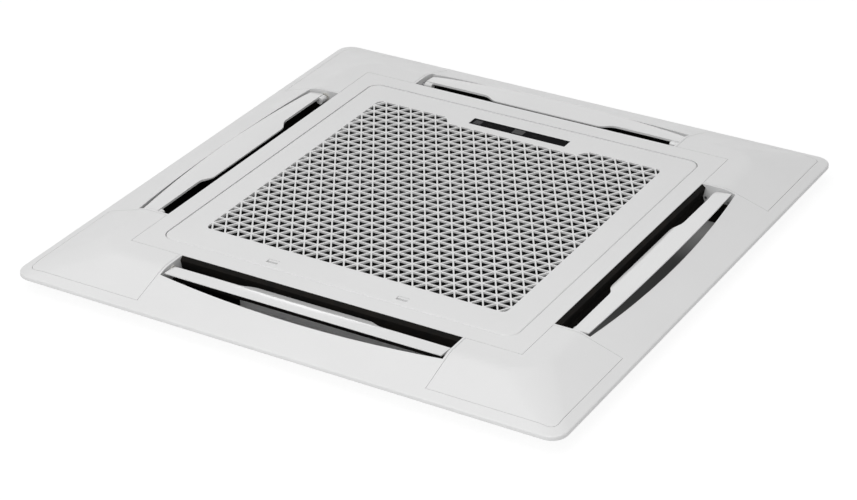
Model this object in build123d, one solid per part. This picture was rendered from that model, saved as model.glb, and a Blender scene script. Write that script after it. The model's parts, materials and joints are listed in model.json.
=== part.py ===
from build123d import *
import os
from math import atan, cos

# Face panel of a four-way ceiling cassette, lying face up, in millimetres.
# Z = 0 is the rear plane that meets the cased unit. +Z points out of the face into the room.
# X and Y run along the sides. The front side faces -Y and the display is at the back side, +Y.
# "u" is the distance outward from the centre towards one side, "s" runs along that side.

os.makedirs("parts", exist_ok=True)

# ---------------------------------------------------------------- driving dimensions
PANEL = 620.0  # side of the square panel
RIM_CORNER = 17.0  # plan radius of the rim
RIM_HEIGHT = 5.0
RIM_WALL = 4.0
RIM_ROUND = 1.8
REAR_DEPTH = 22.0  # rear plane to the top edge of the rim
RISE = 18.5  # top edge of the rim to the flat field
BAND = 58.0  # plan width of the sloping band around the flat field
FIELD_CORNER = 40.0
FIELD_BLEND = 40.0  # radius between field and sloping band
SKIN = 2.5  # wall of the moulding
WALL_BITE = 1.0  # how far walls reach into the skin

VENT_BORDER = 37.8  # side of the panel to the middle of an outlet's bow
VENT_BOW = 9.7  # rise of that bow over its ends
VENT_WIDTH = 38.0  # at the ends
VENT_HALF = 161.5  # half length of an outlet
DUCT_STEP = 2.5  # duct wall behind the outlet's inner edge, which carries the thick foam
SKIRT_BORDER = 32.5  # side of the panel to the rear skirt
SKIRT_CORNER = 12.0

LINER_LOW = 13.0  # lower end of the foam on the inner wall, above the rear plane
LINER_HIGH = 23.0  # upper end of the foam on the other walls
LINER_FOOT = 8.9  # thickness on the inner wall at its lower end
LINER_TOP = 4.0
LINER_LIP = 4.0  # reach of its sloping top past the outlet's inner edge
LINER_SUNK = 0.4  # top of that slope below the face
LINER_FALL = 3.4
LINER_THIN = 2.5  # thickness on the other walls
SOFT_GAP = 0.1  # foam to the wall that it is glued to

COVER_SEAM = 0.4
COVER_BORDER = 11.5  # side of the panel to the outer seam of a corner cover
COVER_CORNER = 8.0
COVER_GAP = 0.3  # cover to the recessed floor below it
FLOOR = 2.2  # thickness of that floor
CLIP_WIDTH = 8.0
CLIP_THICK = 1.8
CLIP_DEPTH = 9.0
CLIP_BARB = 0.8
CLIP_PLAY = 0.5
CLIP_BITE = 7.0  # spacing of the clips from the seams

FIXING_BORDER = 60.0  # side of the panel to its fixing screws
FIXING_HOLE = 6.0
FIXING_WELL = 13.0
FIXING_BOSS = 18.0
FIXING_SEAT = 8.0  # height of the seat above the rear plane

GRILLE_BORDER = 21.2  # edge of the grille to the outlets
GRILLE_CORNER = 13.0
GRILLE_SEAM = 0.8
GRILLE_ROUND = 1.5
GRILLE_SKIRT = 11.0  # depth of its skirt below the face
GRILLE_SKIRT_WALL = 2.0
RECESS_BACK = 1.3  # recess wall behind the lip of the seam
LEDGE_DROP = 24.0  # face to the top of the recess ledge
LEDGE_WIDTH = 14.0
PAD_GAP = 0.3
PAD = 12.0
PAD_INSET = 53.3

BEZEL_SIDE = 28.8  # edge of the grille to the mesh
BEZEL_FRONT = 36.3
BEZEL_BACK = 33.8
MESH_CORNER = 7.5
NOTCH_DEPTH = 12.5  # the mesh steps back this far in front of the display
NOTCH_HALF = 78.0
NOTCH_RUN = 12.0  # slanted ends of the notch
MESH_DEPTH = 3.0
MESH_ROWS = 15
MESH_RIB = 2.0
CELL_SHAPE = 1.222  # node pitch over row pitch
SMALLEST_CELL = 12.0  # smaller cut-off cells are left closed, in square millimetres

HINGE_INSET = 17.5  # hinge axis from the back edge of the grille
HINGE_DROP = 4.5  # hinge axis below the face
HINGE_PIN = 3.0
HINGE_EYE = 6.0
HINGE_BOSS = 6.0  # length of the pin's boss inside the skirt
PIN_PLAY = 0.04

LATCH_X = 75.0
LATCH_INSET = 13.3  # released; locked is further out by the travel
LATCH_PAD = (12.0, 3.0)
LATCH_BASE = (20.0, 9.5)
LATCH_BASE_THICK = 1.5
LATCH_TONGUE = (10.0, 3.0)  # width and thickness
LATCH_STEP = 1.0  # tongue below the top of the base
LATCH_TRAVEL = 3.2
LATCH_BITE = 1.2
SLIDE_PLAY = 0.3

FILTER_INSET = 0.5  # short of the mesh at the sides
FILTER_PAST_FRONT = 2.0
FILTER_PAST_BACK = 0.5
FILTER_BAR = 6.0
FILTER_THICK = 4.0
FILTER_GAP = 0.5
NET = 0.6
RAIL = 2.0
RAIL_LIP = 3.0
RAIL_INSET = 19.0  # front of the filter to the ends of its rails

WINDOW = (118.0, 14.0)
WINDOW_INSET = 29.3  # back edge of the grille to the middle of the strip
WINDOW_FIT = 0.15
TRAY_BORDER = 4.0
TRAY_DEPTH = 10.0
TRAY_WALL = 1.6
BOARD = 1.6
BOARD_POST = 1.5
TRAY_EAR = 8.0
BUTTON = 9.0
BUTTON_X = -51.0
BUTTON_FIT = 0.25
BUTTON_TRAVEL = 0.8
BUTTON_SINK = 0.2
SWITCH = 1.6
LED_X = (-36.0, -20.0, 19.0)
LED = 3.0
RECEIVER = 6.0

LOUVRE_HALF = 158.3
LOUVRE_THICK = 2.4
LOUVRE_EDGE = 1.0  # thickness at its long edges
LOUVRE_CROWN = 0.7
LOUVRE_TOE_GAP = 9.0  # where the lofted blade starts, before its inner edge is cut
LOUVRE_MID_GAP = 10.5  # inner edge of the outlet to the blade
LOUVRE_END_GAP = 17.5
LOUVRE_MID_SLOT = 6.95  # blade to the outer edge of the outlet
LOUVRE_END_SLOT = 3.2
LOUVRE_MID_TOE_Z = 12.65  # heights above the rim's edge
LOUVRE_END_TOE_Z = 13.4
LOUVRE_MID_OUT_Z = 20.7
LOUVRE_END_OUT_Z = 16.4
STEP_FROM = 62.0  # the S step of the inner edge
STEP_TO = 84.0
LOUVRE_CLOSED = (0.0, 0.0, 10.0, 10.0)  # degrees that each stands lower: front, right, back, left
PIVOT_INSET = 17.5  # from the inner edge of the outlet
PIVOT_RISE = 10.0  # above the rim's edge
PIVOT_BOSS = 8.0
PIVOT_BOSS_LENGTH = 9.0
PIVOT_PIN = 4.0
BUSH_OUTER = 7.0
BUSH_FLANGE = 10.0
BUSH_FLANGE_THICK = 1.2

MOTOR = 20.0
MOTOR_LENGTH = 15.0
MOTOR_OFFSET = 7.0  # shaft above the middle of the motor
MOTOR_PLATE = 0.8
MOTOR_EARS = 26.0  # between its screws
MOTOR_EAR_WIDTH = 7.0
SHAFT = 5.0
SHAFT_IN_MOTOR = 8.0
SHAFT_IN_BOSS = 7.0
SHAFT_HOLE_PLAY = 0.5
SCREW = 2.9
SCREW_HEAD = 5.0
SCREW_HEAD_THICK = 1.8
SCREW_LENGTH = 3.2
TRAY_SCREW_LENGTH = 6.0

SEAL = (10.0, 6.0)  # width and height of the foam ring

# ---------------------------------------------------------------- worked-out places
FIELD = PANEL - 2 * BAND
VENT_MID = PANEL / 2 - VENT_BORDER
VENT_END = VENT_MID - VENT_BOW
VENT_IN = VENT_END - VENT_WIDTH
DUCT_IN = VENT_IN - DUCT_STEP
SKIRT_SIDE = PANEL - 2 * SKIRT_BORDER
FIXING_SPACING = PANEL - 2 * FIXING_BORDER
EDGE_Z = REAR_DEPTH
RIM_BOTTOM = EDGE_Z - RIM_HEIGHT
FIELD_Z = EDGE_Z + RISE
SLOPE = 2 * RISE / (PANEL - FIELD)
SKIN_DROP = SKIN / cos(atan(SLOPE))
UNDER_FIELD = FIELD_Z - SKIN_DROP
GRILLE_HALF = VENT_IN - GRILLE_BORDER
GRILLE = 2 * GRILLE_HALF
MESH_HALF = GRILLE_HALF - BEZEL_SIDE
MESH_FRONT = GRILLE_HALF - BEZEL_FRONT
MESH_BACK = GRILLE_HALF - BEZEL_BACK
MESH_NOTCH = MESH_BACK - NOTCH_DEPTH
FILTER_HALF = MESH_HALF - FILTER_INSET
FILTER_FRONT = MESH_FRONT + FILTER_PAST_FRONT
FILTER_BACK = MESH_BACK + FILTER_PAST_BACK
RAIL_HALF = FILTER_FRONT - RAIL_INSET
PAD_PLACE = GRILLE_HALF - PAD_INSET
LATCH_Y = LATCH_INSET - GRILLE_HALF
WINDOW_Y = GRILLE_HALF - WINDOW_INSET
LOUVRE_TOE = VENT_IN + LOUVRE_TOE_GAP
LOUVRE_MID_IN = VENT_IN + LOUVRE_MID_GAP
LOUVRE_END_IN = VENT_IN + LOUVRE_END_GAP
LOUVRE_MID_OUT = VENT_MID - LOUVRE_MID_SLOT
LOUVRE_END_OUT = VENT_END - LOUVRE_END_SLOT
PIVOT_U = VENT_IN + PIVOT_INSET
GRILLE_UNDER = FIELD_Z - SKIN
SKIRT_Z = FIELD_Z - GRILLE_SKIRT
SEAM_HALF = GRILLE_HALF + GRILLE_SEAM
RECESS_HALF = SEAM_HALF + RECESS_BACK
LEDGE_Z = FIELD_Z - LEDGE_DROP
HINGE_Y = GRILLE_HALF - HINGE_INSET
HINGE_Z = FIELD_Z - HINGE_DROP
PIVOT_Z = EDGE_Z + PIVOT_RISE
COVER_START = VENT_HALF + SKIN
COVER_REACH = PANEL / 2 - COVER_BORDER
FILTER_TOP = FIELD_Z - MESH_DEPTH - FILTER_GAP
TRAY_FLOOR_Z = GRILLE_UNDER - TRAY_DEPTH
BOARD_Z = TRAY_FLOOR_Z + TRAY_WALL + BOARD_POST
BOARD_TOP = BOARD_Z + BOARD
LATCH_TOP = GRILLE_UNDER - SLIDE_PLAY
TONGUE_Z = LATCH_TOP - LATCH_STEP - LATCH_TONGUE[1]
FLANGE_TOP = GRILLE_UNDER - 0.1
SIDES = ("front", "right", "back", "left")
CORNERS = ("front_right", "back_right", "back_left", "front_left")


# ---------------------------------------------------------------- helpers
def block(x0, x1, y0, y1, z0, z1):
    """Box between two opposite corners."""
    centre = Pos((x0 + x1) / 2, (y0 + y1) / 2, (z0 + z1) / 2)
    return centre * Box(x1 - x0, y1 - y0, z1 - z0)


def rod(radius, x0, x1, y, z):
    """Cylinder along X."""
    return Pos((x0 + x1) / 2, y, z) * Rot(0, 90, 0) * Cylinder(radius, x1 - x0)


def post(radius, x, y, z0, z1):
    """Cylinder along Z."""
    return Pos(x, y, (z0 + z1) / 2) * Cylinder(radius, z1 - z0)


def square(side, radius):
    return RectangleRounded(side, side, radius)


def prism(area, z0, z1):
    return extrude(Pos(0, 0, z0) * area, z1 - z0)


def all_sides(piece):
    """The front piece and its copies on the other three sides."""
    return [Rot(0, 0, 90 * turn) * piece for turn in range(4)]


def write(piece, name):
    export_step(piece, f"parts/{name}.step")


# ---------------------------------------------------------------- panel
def band(side, low_z, high_z):
    """Sloping solid from a square of the given side up to the field."""
    radius = RIM_CORNER - (PANEL - side) / 2
    low = Pos(0, 0, low_z) * square(side, radius)
    high = Pos(0, 0, high_z) * square(FIELD, FIELD_CORNER)
    return loft([low, high], ruled=True)


def dome():
    """Everything between the bottom of the rim and the outer face."""
    rim = prism(square(PANEL, RIM_CORNER), RIM_BOTTOM, EDGE_Z)
    body = rim + band(PANEL, EDGE_Z, FIELD_Z)
    body = fillet(body.edges().filter_by_position(Axis.Z, FIELD_Z, FIELD_Z), FIELD_BLEND)
    body = fillet(body.edges().filter_by_position(Axis.Z, EDGE_Z, EDGE_Z), RIM_ROUND)
    return fillet(body.edges().filter_by_position(Axis.Z, RIM_BOTTOM, RIM_BOTTOM), RIM_ROUND)


def cavity():
    """Hollow behind the skin."""
    side = PANEL - 2 * RIM_WALL
    step = EDGE_Z - SKIN_DROP + RIM_WALL * SLOPE
    rim = prism(square(side, RIM_CORNER - RIM_WALL), 0, step)
    return rim + band(side, step, UNDER_FIELD)


def below(face, depth):
    """Everything lower than the outer face by the given depth, down to the rear plane."""
    return Pos(0, 0, -depth) * face + prism(square(PANEL, RIM_CORNER), 0, RIM_BOTTOM)


def vent_area(grow, inner):
    """Plan of the front outlet, grown by the given amount."""
    half = VENT_HALF + grow
    near = -(inner - grow)
    end = -(VENT_END + grow)
    middle = -(VENT_MID + grow)
    edges = [
        Line((-half, near), (half, near)),
        Line((half, near), (half, end)),
        ThreePointArc((half, end), (0, middle), (-half, end)),
        Line((-half, end), (-half, near)),
    ]
    return make_face(edges)


def corner_area(grow):
    """Plan of the recess under the front right cover, grown by the given amount."""
    low = COVER_START - grow
    high = COVER_REACH + grow
    notch = VENT_IN - grow
    middle = (low + high) / 2
    outer = Pos(middle, -middle) * Rectangle(high - low, high - low)
    tip = outer.vertices().sort_by(lambda v: v.X - v.Y)[-1]
    outer = fillet(tip, COVER_CORNER + grow)
    cut = Pos(notch / 2, -notch / 2) * Rectangle(notch, notch)
    return outer - cut


def clip_spots():
    """Places of the three snap clips of the front right cover."""
    far = COVER_REACH - 3 * CLIP_BITE
    near = COVER_START + 3 * CLIP_BITE
    return ((near, -far), (far, -near), (far - CLIP_BITE, -far + CLIP_BITE))


def face_height(x, y):
    """Height of the sloping face at a point near the rim."""
    return EDGE_Z + (PANEL / 2 - max(x, -y)) * SLOPE


def corner_cover(face):
    """Lift-off cover over the fixing screw, with its snap clips, front right corner."""
    shell = face - Pos(0, 0, -SKIN) * face
    cover = shell & prism(corner_area(-COVER_SEAM), RIM_BOTTOM, FIELD_Z)
    half = CLIP_WIDTH / 2
    side = CLIP_THICK / 2
    for x, y in clip_spots():
        top = face_height(x, y)
        foot = top - CLIP_DEPTH
        leg = block(x - half, x + half, y - side, y + side, foot, top)
        barb = block(x - half, x + half, y, y + side + CLIP_BARB, foot, foot + CLIP_THICK)
        cover += (leg + barb) & below(face, SKIN / 2)
    return cover


def corner_gap(face):
    """Space of the front right cover, from the recessed floor to above the face."""
    return prism(corner_area(0), RIM_BOTTOM, FIELD_Z + 1) - Pos(0, 0, -SKIN - COVER_GAP) * face


def corner_recess(face):
    """Floor and walls of the recess under the front right cover, with the screw boss."""
    depth = SKIN + COVER_GAP
    floor = Pos(0, 0, -depth) * face - Pos(0, 0, -depth - FLOOR) * face
    floor &= prism(corner_area(SKIN), RIM_BOTTOM - FLOOR, FIELD_Z)
    ring = corner_area(SKIN) - corner_area(0)
    wall = (face - Pos(0, 0, -depth - FLOOR) * face) & prism(ring, RIM_BOTTOM, FIELD_Z)
    place = FIXING_SPACING / 2
    boss = post(FIXING_BOSS / 2, place, -place, 0, FIELD_Z) & below(face, depth + FLOOR / 2)
    return [floor, wall, boss]


def corner_cuts():
    """Screw well, screw hole and clip slots of the front right corner."""
    place = FIXING_SPACING / 2
    cuts = [
        post(FIXING_WELL / 2, place, -place, FIXING_SEAT, FIELD_Z),
        post(FIXING_HOLE / 2, place, -place, -1, FIELD_Z),
    ]
    half = CLIP_WIDTH / 2 + CLIP_PLAY
    near = CLIP_THICK / 2 + CLIP_PLAY
    far = near + CLIP_BARB
    for x, y in clip_spots():
        top = face_height(x, y)
        low = top - CLIP_DEPTH - CLIP_PLAY
        cuts.append(block(x - half, x + half, y - near, y + far, low, top))
    return cuts


def pivot_cuts():
    """Holes for shaft, bush and motor screws in the end walls of the front duct."""
    out = VENT_HALF + SKIN
    cuts = [
        rod(SHAFT / 2 + SHAFT_HOLE_PLAY, VENT_HALF - 1, out + 1, -PIVOT_U, PIVOT_Z),
        rod(BUSH_OUTER / 2 + PIN_PLAY, -out - 1, -VENT_HALF + 1, -PIVOT_U, PIVOT_Z),
    ]
    for y in motor_screw_rows():
        cuts.append(rod(SCREW / 2 + PIN_PLAY, VENT_HALF - 1, out + 1, y, PIVOT_Z - MOTOR_OFFSET))
    return cuts


def motor_screw_rows():
    return (-PIVOT_U - MOTOR_EARS / 2, -PIVOT_U + MOTOR_EARS / 2)


def hinge_rods(radius, extra):
    """Rods on the hinge axis, from each boss of the grille through the recess wall."""
    near = GRILLE_HALF - GRILLE_SKIRT_WALL - HINGE_BOSS - extra
    far = RECESS_HALF + SKIN + extra
    return [rod(radius, *ends, HINGE_Y, HINGE_Z) for ends in ((-far, -near), (near, far))]


def pin_bores():
    return hinge_rods(HINGE_PIN / 2 + PIN_PLAY, 1)


def rest_pads():
    """Stops on the recess ledge under the skirt of the closed grille."""
    low = LEDGE_Z - WALL_BITE
    high = SKIRT_Z - PAD_GAP
    outer = RECESS_HALF + WALL_BITE
    inner = GRILLE_HALF - GRILLE_SKIRT_WALL
    pads = []
    for place in (-PAD_PLACE, PAD_PLACE):
        pads.append(block(place - PAD / 2, place + PAD / 2, -outer, -inner, low, high))
        pads.append(block(-outer, -inner, place - PAD / 2, place + PAD / 2, low, high))
        pads.append(block(inner, outer, place - PAD / 2, place + PAD / 2, low, high))
    return pads


def keeper_slots():
    """Slots in the front recess wall that the latch tongues enter."""
    half = LATCH_TONGUE[0] / 2 + SLIDE_PLAY
    low = TONGUE_Z - SLIDE_PLAY
    high = TONGUE_Z + LATCH_TONGUE[1] + SLIDE_PLAY
    out = -RECESS_HALF - SKIN - 1
    return [
        block(x - half, x + half, out, -RECESS_HALF + 1, low, high) for x in (-LATCH_X, LATCH_X)
    ]


def panel_frame(face):
    """The one-piece moulding that carries everything."""
    duct = vent_area(SKIN, DUCT_IN) - vent_area(0, DUCT_IN)
    skirt = square(SKIRT_SIDE, SKIRT_CORNER)
    skirt -= square(SKIRT_SIDE - 2 * SKIN, SKIRT_CORNER - SKIN)
    recess_outer = square(2 * (RECESS_HALF + SKIN), GRILLE_CORNER + SKIN)
    recess = recess_outer - square(2 * RECESS_HALF, GRILLE_CORNER)
    ledge = recess_outer - square(2 * (RECESS_HALF - LEDGE_WIDTH), GRILLE_CORNER)
    walls = prism(skirt, 0, FIELD_Z) + all_sides(prism(duct, 0, FIELD_Z))
    walls += prism(recess, LEDGE_Z - SKIN, FIELD_Z)
    walls &= below(face, WALL_BITE)
    frame = face - cavity() + walls
    frame -= all_sides(prism(vent_area(0, DUCT_IN), 0, UNDER_FIELD - FLOOR))
    frame -= all_sides(corner_gap(face))
    frame += prism(ledge, LEDGE_Z - SKIN, LEDGE_Z)
    for piece in corner_recess(face):
        frame += all_sides(piece)
    frame += rest_pads()
    mouth = square(2 * SEAM_HALF, GRILLE_CORNER + GRILLE_SEAM)
    cuts = [prism(mouth, UNDER_FIELD - 1, FIELD_Z + 1)]
    cuts += all_sides(prism(vent_area(0, VENT_IN), EDGE_Z, FIELD_Z + 1))
    for piece in corner_cuts() + pivot_cuts():
        cuts += all_sides(piece)
    return frame - (cuts + keeper_slots() + pin_bores())


# ---------------------------------------------------------------- outlets
def section(x):
    """Plane across the front side: its x is u, its y is height."""
    return Plane(origin=(x, 0, 0), x_dir=(0, -1, 0), z_dir=(-1, 0, 0))


def duct_liner():
    """Black foam in the front duct: thick on the inner wall up to the face, thin and low elsewhere."""
    wall = DUCT_IN + SOFT_GAP
    top = UNDER_FIELD - SOFT_GAP
    bend = (LINER_LOW + top) / 2
    edge = VENT_IN + SOFT_GAP
    crest = FIELD_Z - LINER_SUNK
    points = [(wall, LINER_LOW), (wall + LINER_FOOT, LINER_LOW), (wall + LINER_TOP, bend)]
    points += [(edge + LINER_LIP, crest - LINER_FALL), (edge, crest), (edge, top), (wall, top)]
    half = VENT_HALF - SOFT_GAP
    thick = extrude(section(half) * make_face(Polyline(*points, close=True)), 2 * half)
    ring = vent_area(-SOFT_GAP, DUCT_IN) - vent_area(-SOFT_GAP - LINER_THIN, DUCT_IN)
    inner = Pos(0, -DUCT_IN) * Rectangle(2 * half + 1, 2 * LINER_FOOT)
    return thick + prism(ring - inner, SOFT_GAP, LINER_HIGH)


def blade_face(x, toe_z, tip_u, tip_z):
    """Section of the louvre blade: a crowned top from toe to tip, thinner at both edges."""
    toe = Vector(LOUVRE_TOE, EDGE_Z + toe_z)
    tip = Vector(tip_u, EDGE_Z + tip_z)
    across = (tip - toe).normalized()
    up = Vector(-across.Y, across.X)
    crown = (toe + tip) * 0.5 + up * LOUVRE_CROWN
    drop = up * LOUVRE_THICK
    thin = up * LOUVRE_EDGE
    edges = [
        ThreePointArc(toe, crown, tip),
        Line(tip, tip - thin),
        ThreePointArc(tip - thin, crown - drop, toe - thin),
        Line(toe - thin, toe),
    ]
    return section(x) * make_face(edges)


def blade_plan():
    """Plan of the front blade: straight inner edge with an S step each side."""
    end = -LOUVRE_END_IN
    middle = -LOUVRE_MID_IN
    out = -VENT_MID - VENT_HALF
    bend = (STEP_FROM + STEP_TO) / 2
    half = LOUVRE_HALF
    edges = [
        Line((-half, end), (-STEP_TO, end)),
        Bezier((-STEP_TO, end), (-bend, end), (-bend, middle), (-STEP_FROM, middle)),
        Line((-STEP_FROM, middle), (STEP_FROM, middle)),
        Bezier((STEP_FROM, middle), (bend, middle), (bend, end), (STEP_TO, end)),
        Line((STEP_TO, end), (half, end)),
        Line((half, end), (half, out)),
        Line((half, out), (-half, out)),
        Line((-half, out), (-half, end)),
    ]
    return make_face(edges)


def louvre():
    """Front air flap with its two pivot bosses and the pin of the bush end."""
    end = (LOUVRE_END_TOE_Z, LOUVRE_END_OUT, LOUVRE_END_OUT_Z)
    middle = (LOUVRE_MID_TOE_Z, LOUVRE_MID_OUT, LOUVRE_MID_OUT_Z)
    half = LOUVRE_HALF
    blade = loft([blade_face(-half, *end), blade_face(0, *middle), blade_face(half, *end)])
    blade &= prism(blade_plan(), 0, 2 * FIELD_Z)
    for side in (-1, 1):
        x0, x1 = sorted((side * half, side * (half - PIVOT_BOSS_LENGTH)))
        blade += rod(PIVOT_BOSS / 2, x0, x1, -PIVOT_U, PIVOT_Z)
    blade += rod(PIVOT_PIN / 2, -VENT_HALF - SKIN, -half + 1, -PIVOT_U, PIVOT_Z)
    return blade - rod(SHAFT / 2 + PIN_PLAY, half - SHAFT_IN_BOSS, half + 1, -PIVOT_U, PIVOT_Z)


def turned_down(blade, degrees):
    """The front louvre turned about its pivots, with its outer edge lower."""
    pivot = Pos(0, -PIVOT_U, PIVOT_Z)
    return pivot * Rot(degrees, 0, 0) * pivot.inverse() * blade


def louvre_bush():
    """Bearing bush in the left end wall of the front duct."""
    wall = -VENT_HALF
    tube = rod(BUSH_OUTER / 2, wall - SKIN, wall, -PIVOT_U, PIVOT_Z)
    flange = rod(BUSH_FLANGE / 2, wall, wall + BUSH_FLANGE_THICK, -PIVOT_U, PIVOT_Z)
    bore = rod(PIVOT_PIN / 2 + PIN_PLAY, wall - SKIN - 1, wall + SKIN, -PIVOT_U, PIVOT_Z)
    return tube + flange - bore


def louvre_motor():
    """Geared stepper motor on the right end wall of the front duct."""
    wall = VENT_HALF + SKIN
    z = PIVOT_Z - MOTOR_OFFSET
    half = MOTOR_EARS / 2
    round_end = MOTOR_EAR_WIDTH / 2
    body = rod(MOTOR / 2, wall, wall + MOTOR_LENGTH, -PIVOT_U, z)
    plate = block(
        wall, wall + MOTOR_PLATE, -PIVOT_U - half, -PIVOT_U + half, z - round_end, z + round_end
    )
    holes = [rod(SHAFT / 2 + PIN_PLAY, wall - 1, wall + SHAFT_IN_MOTOR, -PIVOT_U, PIVOT_Z)]
    for y in motor_screw_rows():
        plate += rod(round_end, wall, wall + MOTOR_PLATE, y, z)
        holes.append(rod(SCREW / 2 + PIN_PLAY, wall - 1, wall + SKIN, y, z))
    return body + plate - holes


def motor_shaft():
    """Output shaft from the front motor into the louvre's boss."""
    start = LOUVRE_HALF - SHAFT_IN_BOSS
    stop = VENT_HALF + SKIN + SHAFT_IN_MOTOR
    return rod(SHAFT / 2, start + SLIDE_PLAY, stop - SLIDE_PLAY, -PIVOT_U, PIVOT_Z)


def motor_screws():
    """The two screws of the front motor."""
    seat = VENT_HALF + SKIN + MOTOR_PLATE
    z = PIVOT_Z - MOTOR_OFFSET
    screws = []
    for y in motor_screw_rows():
        head = rod(SCREW_HEAD / 2, seat, seat + SCREW_HEAD_THICK, y, z)
        screws.append(head + rod(SCREW / 2, seat - SCREW_LENGTH, seat, y, z))
    return screws


# ---------------------------------------------------------------- grille
def mesh_area(grow):
    """Plan of the mesh, with the notch in front of the display."""
    width = 2 * (MESH_HALF + grow)
    back = MESH_BACK + grow
    front = MESH_FRONT + grow
    field = RectangleRounded(width, back + front, MESH_CORNER + grow)
    field = Pos(0, (back - front) / 2) * field
    low = MESH_NOTCH + grow
    near = NOTCH_HALF - grow
    far = near + NOTCH_RUN
    points = [(-near, low), (-far, back), (-far, back + 1), (far, back + 1), (far, back), (near, low)]
    return field - make_face(Polyline(*points, close=True))


def cell(x, base, tip, pitch):
    """One triangular gap of the mesh, smaller than its triangle by half a rib all round."""
    height = abs(tip - base)
    leg = (height**2 + pitch**2 / 4) ** 0.5
    inner = height * pitch / (pitch + 2 * leg)
    scale = (inner - MESH_RIB / 2) / inner
    centre = base + inner * (tip - base) / height
    low = centre + (base - centre) * scale
    high = centre + (tip - centre) * scale
    half = pitch / 2 * scale
    return make_face(Polyline((x - half, low), (x + half, low), (x, high), close=True))


def mesh_cells():
    """All gaps of the triangular mesh, cut off at its outline."""
    row = (MESH_FRONT + MESH_BACK) / MESH_ROWS
    pitch = row * CELL_SHAPE
    count = int(MESH_HALF / pitch) + 2
    cells = []
    for i in range(MESH_ROWS):
        low = -MESH_FRONT + i * row
        shift = pitch / 2 * (i % 2)
        for k in range(-count, count + 1):
            x = k * pitch + shift
            cells.append(cell(x, low, low + row, pitch))
            cells.append(cell(x + pitch / 2, low + row, low, pitch))
    near = [c for c in cells if abs(c.center().X) < MESH_HALF + pitch]
    clipped = (Sketch() + near) & mesh_area(0)
    return [face for face in clipped.faces() if face.area > SMALLEST_CELL]


def latch_slots(x):
    """Cuts in the grille for one latch: the pad's slot and the tongue's window."""
    half = LATCH_PAD[0] / 2 + SLIDE_PLAY
    low = LATCH_Y - LATCH_PAD[1] / 2 - SLIDE_PLAY - LATCH_TRAVEL
    high = LATCH_Y + LATCH_PAD[1] / 2 + SLIDE_PLAY
    slot = block(x - half, x + half, low, high, GRILLE_UNDER - 1, FIELD_Z + 1)
    side = LATCH_TONGUE[0] / 2 + SLIDE_PLAY
    inner = -GRILLE_HALF + GRILLE_SKIRT_WALL + 1
    floor = TONGUE_Z - SLIDE_PLAY
    ceiling = TONGUE_Z + LATCH_TONGUE[1] + SLIDE_PLAY
    window = block(x - side, x + side, -GRILLE_HALF - 1, inner, floor, ceiling)
    return [slot, window]


def latch_rails(x):
    """Two L rails under the front edge that carry one latch."""
    half = LATCH_BASE[0] / 2 + SLIDE_PLAY
    low = LATCH_Y - LATCH_BASE[1] / 2
    high = LATCH_Y + LATCH_BASE[1] / 2
    plate = LATCH_TOP - LATCH_BASE_THICK - SLIDE_PLAY
    rails = []
    for side in (-1, 1):
        inner = x + side * half
        web = sorted((inner, inner + side * RAIL))
        lip = sorted((inner - side * RAIL, inner + side * RAIL))
        rails.append(block(*web, low, high, plate - RAIL, GRILLE_UNDER + 1))
        rails.append(block(*lip, low, high, plate - RAIL, plate))
    return rails


def filter_rails():
    """Rails left and right of the mesh that carry the filter."""
    inner = FILTER_HALF + SLIDE_PLAY
    lip = FILTER_TOP - FILTER_THICK - SLIDE_PLAY
    rails = []
    for side in (-1, 1):
        web = sorted((side * inner, side * (inner + RAIL)))
        foot = sorted((side * (inner - RAIL_LIP), side * (inner + RAIL)))
        rails.append(block(*web, -RAIL_HALF, RAIL_HALF, lip - RAIL, GRILLE_UNDER + 1))
        rails.append(block(*foot, -RAIL_HALF, RAIL_HALF, lip - RAIL, lip))
    return rails


def tray_post_places():
    """X of the two screws of the display housing."""
    place = WINDOW[0] / 2 + TRAY_BORDER + TRAY_EAR / 2
    return (-place, place)


def hinge_bosses():
    """Bosses inside the side skirts of the grille that carry the hinge pins."""
    inner = GRILLE_HALF - GRILLE_SKIRT_WALL - HINGE_BOSS
    outer = GRILLE_HALF - WALL_BITE
    radius = HINGE_EYE / 2
    return [rod(radius, *ends, HINGE_Y, HINGE_Z) for ends in ((-outer, -inner), (inner, outer))]


def intake_grille():
    """Hinged grille: bezel with the display slot, skirt, and the triangular mesh."""
    outline = square(GRILLE, GRILLE_CORNER)
    plate = prism(outline, GRILLE_UNDER, FIELD_Z)
    plate = fillet(plate.edges().filter_by_position(Axis.Z, FIELD_Z, FIELD_Z), GRILLE_ROUND)
    wall = GRILLE_SKIRT_WALL
    skirt = outline - square(GRILLE - 2 * wall, GRILLE_CORNER - wall)
    grid = mesh_area(MESH_RIB)
    body = plate + prism(skirt, SKIRT_Z, GRILLE_UNDER)
    body += prism(grid, FIELD_Z - MESH_DEPTH, GRILLE_UNDER)
    for x in (-LATCH_X, LATCH_X):
        body += latch_rails(x)
    body += filter_rails() + hinge_bosses()
    tray_z = TRAY_FLOOR_Z + TRAY_WALL
    cuts = pin_bores()
    for x in tray_post_places():
        body += post(SCREW_HEAD / 2 + SLIDE_PLAY, x, WINDOW_Y, tray_z, GRILLE_UNDER + 1)
        cuts.append(post(SCREW / 2 + PIN_PLAY, x, WINDOW_Y, tray_z - 1, tray_z + TRAY_SCREW_LENGTH))
    for x in (-LATCH_X, LATCH_X):
        cuts += latch_slots(x)
    width, height = (side + 2 * WINDOW_FIT for side in WINDOW)
    cuts.append(plate_at(0, width, height, GRILLE_UNDER - 1, FIELD_Z + 1))
    low = FIELD_Z - MESH_DEPTH - 1
    cuts += [prism(gap, low, FIELD_Z + 1) for gap in mesh_cells()]
    return body - cuts


def hinge_pins():
    return hinge_rods(HINGE_PIN / 2, 0)


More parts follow.
